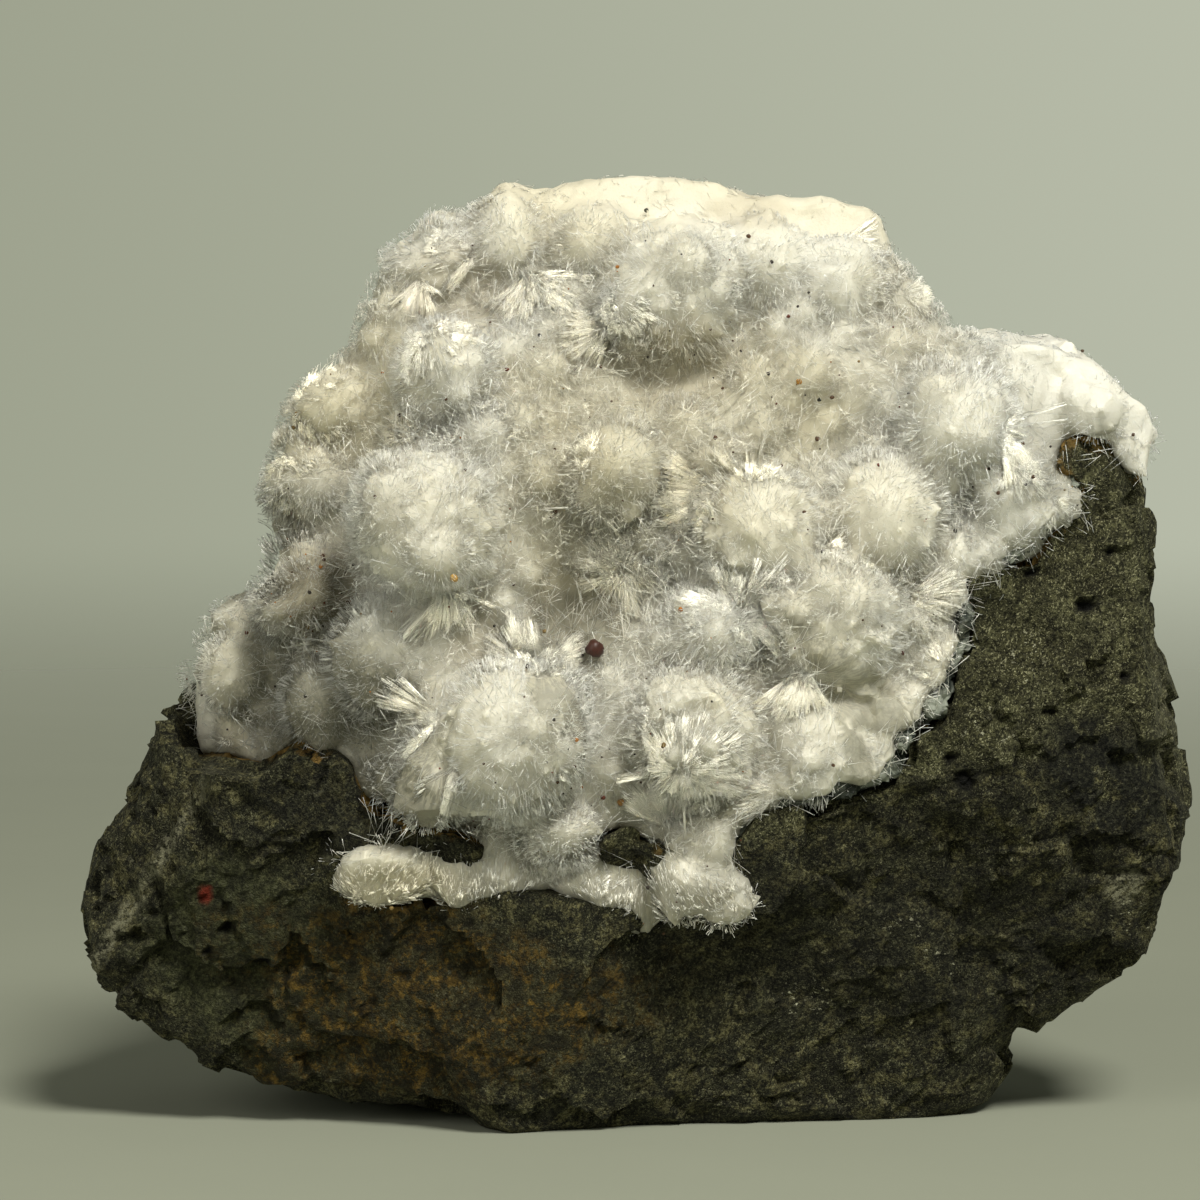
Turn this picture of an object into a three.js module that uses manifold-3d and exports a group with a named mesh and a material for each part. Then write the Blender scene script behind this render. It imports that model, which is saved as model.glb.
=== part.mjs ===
// Okenite puffballs on basalt, a hand-sized mineral specimen.
// Millimetres, +Z up. The show face looks along -Y; the origin is on the resting plane, under the middle.
// Three pieces grown together: the basalt matrix with an opened cavity, the quartz that lines the
// cavity's rim, and the okenite that fills it, a matted crust with the puffballs that grew on it.
import * as THREE from "three";
import { mergeVertices } from "three/addons/utils/BufferGeometryUtils.js";
import { ImprovedNoise } from "three/addons/math/ImprovedNoise.js";
import Module from "manifold-3d";

const wasm = await Module();
wasm.setup();

// ---- Driving dimensions ----
const MIDDLE = new THREE.Vector3(0, 2, 34); // every outline can be seen whole from this point
const PROPORTIONS = new THREE.Vector3(45, 24, 38); // half width, depth and height
const GAP = 0.3; // clearance between grown-together pieces
const CAVITY_FLOOR_Y = 4; // how far back the cavity was opened, on average
const FLOOR_WAVE = 6; // the floor's rise and fall
const FLOOR_LEAN = 0.12; // how much further back the floor lies for each millimetre up
const FLOOR_STEP = 10;
const REACH = 80; // longer than the specimen in any direction
const EDGE_SHARPNESS = 40; // higher is a sharper edge between fracture faces
const STONE_DETAIL = 10;
const CHIPS = 80; // small fracture faces over the whole stone
const CHIP_TILT = 0.34; // how far a chip's face leans from the broad face under it
const STONE_GRIT = 0.8; // height of the small unevenness

const LINING_DETAIL = 5;
const LINING_THICKNESS = 1.1;
const LINING_BACK_Y = -12; // how deep the lining reaches behind the stone's broken face
const LINING_PROUD = 0.25; // how far it stands out of that face
const QUARTZ_SPACING = 3.8;
const QUARTZ_RADIUS = [0.9, 1.5]; // smallest and largest crystal

const CRUST_DETAIL = 11;
const CRUST_STEP = 6;
const CRUST_UNEVENNESS = 1.6;
const SPINE_ROOT = 0.78; // where spines leave a puffball, as a share of its radius
const LARGE_PUFFBALL = 6.5; // from this radius a puffball has the finer spines

// Outline of the broken stone seen from the front, [x, z], from the resting face round by the left.
const STONE_OUTLINE = [
  [-9, -2], [-11.2, 0.6], [-13.6, 1.6], [-17.6, 1], [-21.6, 0.6], [-24.4, 1.4], [-30.2, 2.6],
  [-34, 3.6], [-36.4, 6.2], [-39.2, 8], [-42.4, 10.8], [-44.2, 12.4], [-44.6, 16], [-44.3, 21.4],
  [-42.8, 23.2], [-40.8, 25.6], [-39.2, 26.8], [-38.8, 30.4], [-38, 32.8], [-34.5, 36], [-31.5, 41],
  [-28.2, 45], [-27.5, 51], [-25.5, 56.5], [-21, 62], [-17.8, 69], [-12, 71.8], [-6, 72.8], [3, 73],
  [11, 72], [17.5, 70.5], [19.5, 66.5], [22.5, 62.5], [30, 61.5], [36.6, 61.4], [39.4, 55.5],
  [40.4, 50], [40, 46.8], [40.8, 43.6], [40.6, 41.2], [42, 37.2], [43.2, 34], [44, 30], [44.6, 26],
  [44.5, 23.6], [43.2, 21.2], [42, 17.6], [40.8, 14], [39.2, 11.6], [36.8, 10], [33.2, 8.2], [30.4, 5],
  [27, 1.6], [25, -2],
];

// Outline of the okenite mass, where it is what stands against the light, [x, z], from the left foot.
const OKENITE_OUTLINE = [
  [-32, 14], [-36.4, 33], [-35.8, 36.8], [-34.8, 39.8], [-33.2, 41.8], [-30.8, 42.3], [-29.8, 44],
  [-29.5, 47.6], [-29.9, 50.4], [-28.2, 55.6], [-27.2, 58.4], [-25.2, 60], [-22.8, 62.8], [-22.2, 65.2],
  [-20.8, 69], [-18, 72], [-16.4, 73.6], [-12.8, 73.8], [-12, 75.2], [-10.8, 76], [-9, 75.2],
  [-3.2, 75.8], [8.4, 74.9], [11.2, 74], [14.4, 74.5], [19.2, 73], [19.8, 70.8], [22.8, 66.4],
  [24.4, 64.2], [29.6, 63.6], [35.2, 62.7], [37.8, 60], [39.2, 58], [41, 57], [41.4, 54.8], [40.6, 52],
  [36, 40], [30, 20], [0, 12],
];

// The contact between basalt and okenite on the show face, [x, z], from the left edge to the right.
const CONTACT = [
  [-38.4, 34], [-36, 29.2], [-30, 28.8], [-27.2, 31], [-23.6, 29.8], [-22, 27.2], [-19.2, 26],
  [-15.2, 24.8], [-12.6, 23], [-13.6, 21.6], [-16.8, 22], [-20.4, 23], [-23.6, 22], [-24.6, 20],
  [-22.4, 18.4], [-19.2, 18.1], [-15.2, 18.8], [-11.2, 19.6], [-7.6, 19.2], [-4, 18.4], [0, 18.6],
  [4, 19.6], [6.4, 18.6], [8.8, 18.8], [7.6, 20.8], [7.8, 23.2], [9.6, 25.6], [12.8, 26.2],
  [16.8, 27.2], [20, 28.4], [21.2, 30.4], [21.4, 32.4], [23.6, 33.2], [25, 35.2], [25, 36.6],
  [26.1, 38.8], [26.6, 42], [26.1, 44.2], [28.8, 45.2], [31.2, 45.8], [33, 48.4], [34.8, 50],
  [34.8, 51.4], [33.2, 53], [33.6, 54.8], [36, 56], [37.6, 54.8], [39.2, 52.4], [40.6, 51.8],
];
const LINING_FROM = 24; // the quartz shows along the contact between these two points
const LINING_TO = 42;

// A rib of basalt that stands up through the okenite, [x, z].
const RIB = [
  [-3.4, 22.4], [-2, 21.2], [0, 21.4], [1.4, 20.9], [2.3, 22.2], [1.5, 23.4], [0.2, 23.7], [-1, 24.7],
  [-2.8, 24.1],
];

// Fracture faces of the stone: the way each faces, then a point on it.
const FRONT_FACES = [
  [[0.16, -0.98, 0.11], [12, -19.5, 26.5]],
  [[0.21, -0.91, -0.36], [12, -19.5, 26.5]],
  [[-0.17, -0.95, -0.26], [-5, -19.5, 18]],
  [[-0.75, -0.6, 0.25], [-40, -13.5, 19]],
  [[0.9, -0.4, 0.1], [43, -8, 28]],
  [[0.1, -0.7, -0.7], [5, -14.5, 3]],
];
const BACK_FACES = [
  [[0.05, 0.98, 0.16], [0, 21, 34]],
  [[-0.55, 0.82, 0.12], [-26, 16, 30]],
  [[0.55, 0.82, -0.12], [28, 15, 30]],
  [[-0.1, 0.72, 0.68], [0, 13, 66]],
  [[0.12, 0.86, -0.5], [4, 17, 10]],
];
// The okenite's broken faces above and at both sides, and one well clear of the show face.
const OKENITE_EDGE = [
  [[0, -1, 0], [0, -40, 40]],
  [[0, 0.98, 0.2], [0, 18, 34]],
  [[0.05, 0.3, 0.95], [0, -6, 75.5]],
  [[-0.9, 0.4, 0.1], [-33, 2, 44]],
  [[0.9, 0.35, 0.25], [41, 0, 56]],
];
// The crust's show face, in the same terms: mid, lower, upper, left, and flush with the stone at right.
const CRUST_FACES = [
  [[0, -1, 0.06], [0, -19.5, 40]],
  [[0, -0.93, -0.37], [0, -19.6, 27]],
  [[0.05, -0.85, 0.52], [0, -17.5, 57]],
  [[-0.62, -0.78, 0.08], [-20, -16, 45]],
  [[0.16, -0.98, 0.11], [12, -18.8, 26.5]],
];
// Hollows in the crust between the puffballs: [x, z, radius, depth].
const HOLLOWS = [
  [-4.2, 43, 4.2, 5], [3, 62.5, 5, 3.5], [-8, 60, 4, 1.5], [17, 52, 5, 2.5], [-21, 52.5, 3, 3],
  [-13, 40, 3.5, 1.5],
];

// Puffballs: [x, z, radius, how far its centre lies behind the crust's face].
const PUFFBALLS = [
  [-16.4, 48.8, 7, 0.6], [-15.4, 60.4, 4.8, 1], [-24.6, 58.4, 4.2, 0.8], [-26.8, 52, 4.6, 0.8],
  [-26.8, 43, 5.4, 1], [-32.2, 36, 4, 0.4], [-20, 38, 5.6, 1.2], [-10, 32, 7.2, 0.8],
  [-24.8, 34, 4.4, 1], [-16.2, 28.2, 4, 0.8], [4.2, 32.4, 6.4, 0.8], [5, 22.6, 4.6, 1.2],
  [14, 30.8, 5.6, 1.4], [15, 40.8, 7, 1.4], [9, 48, 6.4, 0.8], [5.4, 40, 5, 1.4], [19, 49, 6.2, 1.4],
  [-1.8, 53, 4.6, 0.6], [2.4, 66.4, 6.8, 1], [10, 68.6, 5.4, 1.4], [-4, 69.8, 4.8, 1.6],
  [-11, 71, 4.2, 1], [-16.8, 69.2, 4.2, 1], [15.6, 67.4, 4.8, 1.2], [25, 56.2, 6, 1],
  [36, 57.4, 3.6, 1.2], [29.2, 50.8, 4.2, 1], [-6.6, 24.4, 4.2, 1], [-19.4, 20.6, 2.4, 0.6],
];

// ---- Shape helpers ----
const noise = new ImprovedNoise();

/** Summed noise at a point, from -1 to 1, whose largest lumps are about `size` across. */
function roughness(point, size, octaves = 3) {
  let sum = 0;
  let share = 1;
  for (let octave = 0; octave < octaves; octave++) {
    const scale = 2 ** octave / size;
    sum += share * noise.noise(point.x * scale + 7.3, point.y * scale + 1.9, point.z * scale + 4.1);
    share *= 0.5;
  }
  return sum;
}

/** Distance from MIDDLE to an [x, z] outline in the direction (dx, dz) of the front view. */
function outlineDistance(outline, dx, dz) {
  let nearest = REACH;
  outline.forEach(([x1, z1], i) => {
    const [x2, z2] = outline[(i + 1) % outline.length];
    const [ax, az] = [x1 - MIDDLE.x, z1 - MIDDLE.z];
    const [ex, ez] = [x2 - x1, z2 - z1];
    const across = dx * ez - dz * ex;
    if (Math.abs(across) < 1e-9) return;
    const distance = (ax * ez - az * ex) / across;
    const along = (ax * dz - az * dx) / across;
    if (distance > 0 && along >= 0 && along <= 1) nearest = Math.min(nearest, distance);
  });
  return nearest;
}

/** Distance from MIDDLE to the surface that an outline and some faces bound, with worn edges. */
function boundedDistance(direction, outline, faces) {
  const flat = Math.hypot(direction.x, direction.z);
  let sum = 0;
  if (flat > 1e-6) {
    const side = outlineDistance(outline, direction.x / flat, direction.z / flat) / flat;
    sum += side ** -EDGE_SHARPNESS;
  }
  for (const [facing, on] of faces) {
    const normal = new THREE.Vector3(...facing).normalize();
    const towards = normal.dot(direction);
    const distance = normal.dot(new THREE.Vector3(...on).sub(MIDDLE));
    if (towards > 1e-6) sum += (distance / towards) ** -EDGE_SHARPNESS;
  }
  return sum ** (-1 / EDGE_SHARPNESS);
}

/** A closed body round MIDDLE: distanceOf gives how far its surface lies in each direction. */
function bodyAround(detail, distanceOf) {
  const geometry = new THREE.IcosahedronGeometry(1, detail);
  const position = geometry.getAttribute("position");
  const direction = new THREE.Vector3();
  for (let i = 0; i < position.count; i++) {
    direction.fromBufferAttribute(position, i).multiply(PROPORTIONS).normalize();
    const point = direction.clone().multiplyScalar(distanceOf(direction)).add(MIDDLE);
    position.setXYZ(i, point.x, point.y, point.z);
  }
  return toSolid(geometry);
}

/** A slab over the whole front view between two reliefs, each a function that gives y at (x, z). */
function reliefSlab(step, nearY, farY) {
  const cells = Math.ceil((1.3 * REACH) / step);
  const geometry = new THREE.BoxGeometry(cells * step, 2, cells * step, cells, 1, cells);
  const position = geometry.getAttribute("position");
  for (let i = 0; i < position.count; i++) {
    const [column, row] = [position.getX(i), position.getZ(i)];
    const x = column + 0.6 * step * noise.noise(column * 0.37, row * 0.41, 5.5);
    const z = row + 0.6 * step * noise.noise(column * 0.43, row * 0.39, 9.5) + MIDDLE.z + 8;
    position.setXYZ(i, x, position.getY(i) < 0 ? nearY(x, z) : farY(x, z), z);
  }
  return geometry;
}

function toSolid(geometry) {
  const bare = geometry.index ? geometry.toNonIndexed() : geometry.clone();
  bare.deleteAttribute("normal");
  bare.deleteAttribute("uv");
  const merged = mergeVertices(bare, 1e-4);
  return new wasm.Manifold(
    new wasm.Mesh({
      numProp: 3,
      vertProperties: merged.getAttribute("position").array,
      triVerts: new Uint32Array(merged.index.array),
    }),
  );
}

/** The largest of the bodies that a cut leaves. */
function largestBody(solid) {
  return solid.decompose().reduce((best, body) => (body.volume() > best.volume() ? body : best));
}

/** An [x, z] outline extruded along Y, from fromY to toY. */
function prismAlongY(outline, fromY, toY) {
  const shape = new THREE.Shape(outline.map(([x, z]) => new THREE.Vector2(x, z)));
  const geometry = new THREE.ExtrudeGeometry(shape, { depth: toY - fromY, bevelEnabled: false });
  geometry.rotateX(Math.PI / 2);
  geometry.translate(0, toY, 0);
  return toSolid(geometry);
}

/** Moves an open [x, z] line sideways, towards its left, by `by`. */
function movedLine(line, by) {
  return line.map(([x, z], i) => {
    const [x1, z1] = line[Math.max(i - 1, 0)];
    const [x2, z2] = line[Math.min(i + 1, line.length - 1)];
    const length = Math.hypot(x2 - x1, z2 - z1);
    return [x - ((z2 - z1) / length) * by, z + ((x2 - x1) / length) * by];
  });
}

/** Where a face list's front surface lies at (x, z). */
function frontOf(faces, x, z) {
  return Math.max(
    ...faces.map(([normal, on]) => on[1] - (normal[0] * (x - on[0]) + normal[2] * (z - on[2])) / normal[1]),
  );
}

// ---- Basalt matrix ----
const STONE_FACES = [...FRONT_FACES, ...BACK_FACES];
const broadDistance = (direction) => boundedDistance(direction, STONE_OUTLINE, STONE_FACES);

/** Chips spread evenly over the broad faces: where each lies and which way its face leans. */
const chips = Array.from({ length: CHIPS }, (_, i) => {
  const turn = i * Math.PI * (3 - Math.sqrt(5));
  const height = 1 - (2 * i + 1) / CHIPS;
  const across = Math.sqrt(1 - height * height);
  const round = new THREE.Vector3(across * Math.cos(turn), height, across * Math.sin(turn));
  const direction = round.multiply(PROPORTIONS).normalize();
  const at = direction.clone().multiplyScalar(broadDistance(direction)).add(MIDDLE);
  const lean = new THREE.Vector3(Math.sin(i * 12.9), Math.sin(i * 78.2), Math.sin(i * 37.7));
  return { at, lean: lean.multiplyScalar(CHIP_TILT) };
});

function stoneDistance(direction) {
  const distance = broadDistance(direction);
  const point = direction.clone().multiplyScalar(distance).add(MIDDLE);
  const chip = chips.reduce((best, other) =>
    other.at.distanceToSquared(point) < best.at.distanceToSquared(point) ? other : best,
  );
  const awayFromRim = Math.min(1, 2 * Math.abs(direction.y));
  const leaning = awayFromRim * chip.lean.dot(point.clone().sub(chip.at));
  return distance + leaning + STONE_GRIT * (roughness(point, 5, 2) + 0.8 * roughness(point, 0.9, 1));
}

/** What was opened out of the stone, seen from the front: the contact, then round outside the stone. */
function cavity(inset) {
  const around = [[REACH, 52 + inset], [REACH, 1.5 * REACH], [-REACH, 1.5 * REACH], [-REACH, 34 + inset]];
  const opening = prismAlongY([...movedLine(CONTACT, inset), ...around], -REACH, REACH);
  const floor = (x, z) =>
    CAVITY_FLOOR_Y - inset + FLOOR_LEAN * (z - MIDDLE.z) + FLOOR_WAVE * noise.noise(x / 15, 0.5, z / 15);
  return opening.intersect(toSolid(reliefSlab(FLOOR_STEP, () => -REACH / 2, floor)));
}

function stoneBody(grown) {
  const whole = bodyAround(STONE_DETAIL, (direction) => stoneDistance(direction) + grown);
  return whole.subtract(cavity(grown).subtract(rib(grown)));
}

/** The rib, from in front of the stone's broken face to behind the cavity's floor. */
function rib(grown) {
  const corners = RIB.map(([x, z]) => new THREE.Vector2(x, z));
  const middle = new THREE.Box2().setFromPoints(corners).getCenter(new THREE.Vector2());
  const moved = corners.map((corner) => {
    const away = corner.clone().sub(middle).setLength(grown);
    return corner.clone().add(away).toArray();
  });
  return prismAlongY(moved, -REACH / 2, CAVITY_FLOOR_Y + FLOOR_WAVE);
}

function basaltMatrix() {
  const below = new THREE.BoxGeometry(2 * REACH, 2 * REACH, REACH).translate(0, 0, -REACH / 2);
  return largestBody(stoneBody(0).subtract(toSolid(below)));
}

// ---- Quartz lining ----
/** A strip of the contact between two insets from the stone, back to backY. */
function liningStrip(fromInset, toInset, backY) {
  const line = CONTACT.slice(LINING_FROM, LINING_TO + 1);
  const outline = [...movedLine(line, fromInset), ...movedLine(line, toInset).reverse()];
  return prismAlongY(outline, -REACH / 2, backY);
}

/** Blunt crystals that stand along the strip's middle, at the stone's broken face. */
function quartzCrystals(grown) {
  const line = new THREE.CatmullRomCurve3(
    movedLine(CONTACT.slice(LINING_FROM, LINING_TO + 1), GAP + LINING_THICKNESS / 2).map(
      ([x, z]) => new THREE.Vector3(x, 0, z),
    ),
  );
  const count = Math.round(line.getLength() / QUARTZ_SPACING);
  return line.getSpacedPoints(count).map((point, i) => {
    const size = THREE.MathUtils.lerp(...QUARTZ_RADIUS, Math.abs(Math.sin(i * 2.3)));
    const crystal = new THREE.OctahedronGeometry(size + grown);
    crystal.rotateX(i * 1.7).rotateZ(i * 0.9);
    crystal.translate(point.x, frontOf(FRONT_FACES, point.x, point.z) + 0.3 * size, point.z);
    return toSolid(crystal);
  });
}

function quartzLining() {
  const skin = bodyAround(LINING_DETAIL, (direction) => stoneDistance(direction) + LINING_PROUD);
  const strip = liningStrip(GAP, GAP + LINING_THICKNESS, LINING_BACK_Y).intersect(skin);
  const lumpy = quartzCrystals(0).reduce((sum, crystal) => sum.add(crystal), strip);
  return largestBody(lumpy.subtract(stoneBody(GAP)));
}

// ---- Okenite ----
/** A ball of needles grown out from one point: a spine on each face of a rounded core. */
function puffball([x, z, radius, behind], i) {
  const Core = radius < LARGE_PUFFBALL ? THREE.OctahedronGeometry : THREE.IcosahedronGeometry;
  const core = new Core(radius * SPINE_ROOT, 1);
  const position = core.getAttribute("position");
  const points = [];
  for (let corner = 0; corner < position.count; corner += 3) {
    const [a, b, c] = [0, 1, 2].map((k) => new THREE.Vector3().fromBufferAttribute(position, corner + k));
    const tip = new THREE.Triangle(a, b, c).getMidpoint(new THREE.Vector3()).setLength(radius);
    points.push(a, b, tip, b, c, tip, c, a, tip);
  }
  const ball = new THREE.BufferGeometry().setFromPoints(points);
  ball.rotateX(i * 1.3).rotateZ(i * 2.1);
  ball.translate(x, frontOf(CRUST_FACES, x, z) + behind, z);
  return toSolid(ball);
}

/** The matted crust's show face. */
function crustFace() {
  const showY = (x, z) => {
    const hollow = HOLLOWS.reduce((sum, [hx, hz, radius, depth]) => {
      const away = Math.hypot(x - hx, z - hz) / radius;
      return sum + depth * Math.exp(-away * away);
    }, 0);
    return frontOf(CRUST_FACES, x, z) + hollow + CRUST_UNEVENNESS * roughness(new THREE.Vector3(x, 0, z), 9);
  };
  return toSolid(reliefSlab(CRUST_STEP, showY, () => REACH / 2));
}

/** The crust's broken edge, whose outline stands against the light above and at the left. */
function crustSide() {
  return bodyAround(CRUST_DETAIL, (direction) => {
    const distance = boundedDistance(direction, OKENITE_OUTLINE, OKENITE_EDGE);
    const point = direction.clone().multiplyScalar(distance).add(MIDDLE);
    const lumps = 0.7 * roughness(point, 7) + 0.5 * roughness(point, 0.9, 1);
    return distance + CRUST_UNEVENNESS * (0.3 + lumps);
  });
}

function okeniteCrust() {
  const crust = crustFace().intersect(crustSide()).intersect(cavity(GAP / 2));
  const whole = PUFFBALLS.map(puffball).reduce((sum, ball) => sum.add(ball), crust);
  const rim = quartzCrystals(2 * GAP).reduce(
    (sum, crystal) => sum.add(crystal),
    liningStrip(-GAP, 2 * GAP + LINING_THICKNESS, LINING_BACK_Y + GAP),
  );
  return largestBody(whole.subtract(stoneBody(GAP)).subtract(rim));
}

// ---- Scene graph ----
function toGeometry(solid) {
  const mesh = solid.getMesh();
  const geometry = new THREE.BufferGeometry();
  geometry.setAttribute("position", new THREE.BufferAttribute(mesh.vertProperties, 3));
  geometry.setIndex(new THREE.BufferAttribute(mesh.triVerts, 1));
  geometry.computeVertexNormals();
  return geometry;
}

function piece(name, solid, material) {
  const mesh = new THREE.Mesh(toGeometry(solid), material);
  mesh.name = name;
  return mesh;
}

function mineral(color, roughness) {
  return new THREE.MeshStandardMaterial({ color, roughness, metalness: 0, flatShading: true });
}

const specimen = new THREE.Group();
specimen.add(piece("basalt_matrix", basaltMatrix(), mineral(0x34352c, 0.92)));
specimen.add(piece("quartz_lining", quartzLining(), mineral(0x9aa3a3, 0.35)));
specimen.add(piece("okenite_crust", okeniteCrust(), mineral(0xe9e6da, 0.6)));
export default specimen;
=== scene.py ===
import math

import bmesh
import bpy
import numpy as np
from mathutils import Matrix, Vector
from mathutils.bvhtree import BVHTree
from mathutils.kdtree import KDTree


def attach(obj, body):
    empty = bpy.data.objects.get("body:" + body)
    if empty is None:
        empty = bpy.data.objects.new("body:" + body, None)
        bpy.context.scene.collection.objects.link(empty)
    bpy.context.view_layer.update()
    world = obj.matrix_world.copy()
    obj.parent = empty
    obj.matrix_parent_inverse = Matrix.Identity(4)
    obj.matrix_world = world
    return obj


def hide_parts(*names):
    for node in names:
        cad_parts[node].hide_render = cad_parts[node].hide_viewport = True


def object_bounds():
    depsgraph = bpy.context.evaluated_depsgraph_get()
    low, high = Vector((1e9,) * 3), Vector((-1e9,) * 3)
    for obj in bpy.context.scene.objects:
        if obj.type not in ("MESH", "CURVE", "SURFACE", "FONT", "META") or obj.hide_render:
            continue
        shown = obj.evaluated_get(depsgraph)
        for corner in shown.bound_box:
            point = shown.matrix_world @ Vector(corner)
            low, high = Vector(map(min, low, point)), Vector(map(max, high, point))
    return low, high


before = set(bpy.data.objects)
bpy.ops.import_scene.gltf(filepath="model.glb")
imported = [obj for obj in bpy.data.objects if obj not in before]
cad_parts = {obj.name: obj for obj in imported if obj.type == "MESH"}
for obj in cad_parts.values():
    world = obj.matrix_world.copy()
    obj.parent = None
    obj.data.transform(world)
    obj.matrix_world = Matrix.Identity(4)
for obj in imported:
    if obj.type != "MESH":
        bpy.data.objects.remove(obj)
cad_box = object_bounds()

MM = 0.001
random = np.random.default_rng(11)

# ---- Sizes ----
STONE_VOXEL = 0.5  # about the side of each face of the stone
CRUST_VOXEL = 0.52
QUARTZ_VOXEL = 0.3
CORE_SHARE = 0.81  # a puffball's milky core, as a share of its radius
SPRAY_CORE_SHARE = 0.68  # a lesser spray's
FAN_CORE_SHARE = 0.16  # the mound under a broken spray, as a share of its reach
SEAM_SOFTNESS = 0.35  # how softly two cores run together
SMALL_SPRAYS = 150
SMALL_SPRAY_RADIUS = (1.5, 3.6)
SPRAY_SPACING = 2.2
BALL_DENSITY = 15  # needles for each square millimetre of a puffball
BALL_LOWEST = -0.2  # how far below its equator a puffball has needles, as a sine
FAN_DENSITY = 28
MAT_NEEDLES = 30000
FELT_NEEDLES = 20000
LIP_NEEDLES = 4000
SPECKS = 260
NEEDLE_RADIUS = 0.036
NEEDLES_A_PIECE = 48000
OVERHANG = 0.7  # how far a needle may pass the CAD's box

# ---- Places, as x, z seen from the front ----
# The okenite's show face: the way each face looks, then a point on it.
CRUST_FACES = [
    ((0, -1, 0.06), (0, -19.5, 40)), ((0, -0.93, -0.37), (0, -19.6, 27)),
    ((0.05, -0.85, 0.52), (0, -17.5, 57)), ((-0.62, -0.78, 0.08), (-20, -16, 45)),
    ((0.16, -0.98, 0.11), (12, -18.8, 26.5)),
]
# Puffballs: x, z, radius, how far the middle lies behind the face.
PUFFBALLS = [
    (-16.4, 48.8, 7, 0.6), (-15.4, 60.4, 4.8, 1), (-24.6, 58.4, 4.2, 0.8), (-26.8, 52, 4.6, 0.8),
    (-26.8, 43, 5.4, 1), (-32.2, 36, 4, 0.4), (-20, 38, 5.6, 1.2), (-10, 32, 7.2, 0.8),
    (-24.8, 34, 4.4, 1), (-16.2, 28.2, 4, 0.8), (4.2, 32.4, 6.4, 0.8), (5, 22.6, 4.6, 1.2),
    (14, 30.8, 5.6, 1.4), (15, 40.8, 7, 1.4), (9, 48, 6.4, 0.8), (5.4, 40, 5, 1.4),
    (19, 49, 6.2, 1.4), (-1.8, 53, 4.6, 0.6), (2.4, 66.4, 6.8, 1), (10, 68.6, 5.4, 1.4),
    (-4, 69.8, 4.8, 1.6), (-11, 71, 4.2, 1), (-16.8, 69.2, 4.2, 1), (15.6, 67.4, 4.8, 1.2),
    (25, 56.2, 6, 1), (36, 57.4, 3.6, 1.2), (29.2, 50.8, 4.2, 1), (-6.6, 24.4, 4.2, 1),
]
# The crust's outline, from the right lobe over the top to the left fragment, and its middle.
OUTLINE = [
    (40.4, 52.4), (41.4, 54.8), (41, 56.6), (37.3, 60.6), (34.3, 63), (27.9, 63.6), (24.6, 64),
    (23, 66.6), (20.3, 69.8), (19.4, 72.8), (16, 74), (8.8, 74.6), (-6.4, 75.2), (-8.8, 74.8),
    (-10.8, 75.6), (-12.3, 74.3), (-14.1, 73), (-16.2, 73.4), (-18.3, 71.4), (-20.6, 69.9),
    (-21, 68.4), (-22, 66), (-22.9, 62.3), (-24.4, 61.4), (-25.9, 59.9), (-27.8, 57.6),
    (-28.4, 54.8), (-29.8, 50.8), (-29.8, 48.4), (-29.2, 45.6), (-30.2, 44), (-30.8, 42.2),
    (-33.2, 42), (-35.2, 40.4), (-35.2, 38),
]
MIDDLE = np.array((0, 45))
# Where the quartz shows at the edge of the crust: x, z, radius.
QUARTZ_SHOWS = [
    (25, 41, 1.6), (23.4, 34.6, 1.8), (20.6, 31.8, 1.2), (19.8, 29.2, 1.4), (16, 28, 1.4),
    (31.6, 52.6, 2), (9, 22, 1.2),
]
# Hollows, where no lesser spray stands and the okenite is browned as painted shade: x, z, radius.
HOLLOWS = [(-5.4, 41.4, 4.42), (2.8, 61.8, 4.68), (-13, 40, 3.12), (-28.6, 48, 2.86)]
# Broken sprays: x, z, reach, then its aim (0 is right, 90 up) and half its spread, in degrees.
FANS = [
    (-15.6, 61.6, 5.4, -60, 85), (-27.4, 53.4, 5, -60, 50), (-27.2, 57.8, 5, -20, 55),
    (-19, 55.6, 2.6, 90, 180), (-15, 45.2, 5.2, -85, 60), (-2.8, 52.2, 3.6, 50, 50),
    (-1.4, 44.6, 4.2, -60, 180), (-25.6, 39.2, 2, 90, 180), (-13.6, 32.4, 4.8, 190, 45),
    (-12.2, 31.2, 5, -125, 35), (8.2, 49, 5.6, 215, 75), (8.6, 49.6, 4.8, 75, 60),
    (6, 40.6, 5.2, 0, 180), (13.4, 46, 4.2, -40, 70), (14.4, 38.8, 5.2, -90, 60),
    (25.6, 56, 4.8, -30, 60), (3.8, 31.8, 5, 150, 180), (2.2, 24.8, 5.2, 95, 62),
    (3.4, 19.8, 4.8, 80, 50), (-4.9, 19.2, 4.2, 90, 60), (-22.6, 19, 3, 100, 50),
    (-20.4, 18.8, 3.2, 92, 45), (-18.2, 18.7, 3.4, 85, 45), (-15.8, 18.9, 3.2, 80, 45),
    (-13.2, 19, 3, 88, 45), (-10.6, 19.2, 3.2, 75, 50), (-7.8, 18.8, 3, 95, 50),
    (-1.6, 18.6, 3, 85, 50), (6.4, 19.4, 3.4, 110, 45), (-12.8, 69.6, 4.8, 200, 50),
    (-16.8, 68.2, 4.2, -90, 50), (-8.8, 68.4, 5, -70, 70), (-3.2, 63.6, 5, 205, 60),
    (0.4, 66, 5.2, -60, 60), (15.6, 69.4, 4, 5, 35), (20.6, 66.6, 3.6, -5, 40),
    (28.8, 52.6, 4, -55, 60), (32.2, 50.4, 3.2, -60, 60), (-33.2, 38.2, 3.6, -90, 28),
    (20.4, 42.6, 4.4, -20, 60), (9.6, 27.6, 4.2, 210, 60), (-8, 37.4, 4.6, 120, 180),
    (24.2, 37.2, 3, 150, 70),
]
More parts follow.
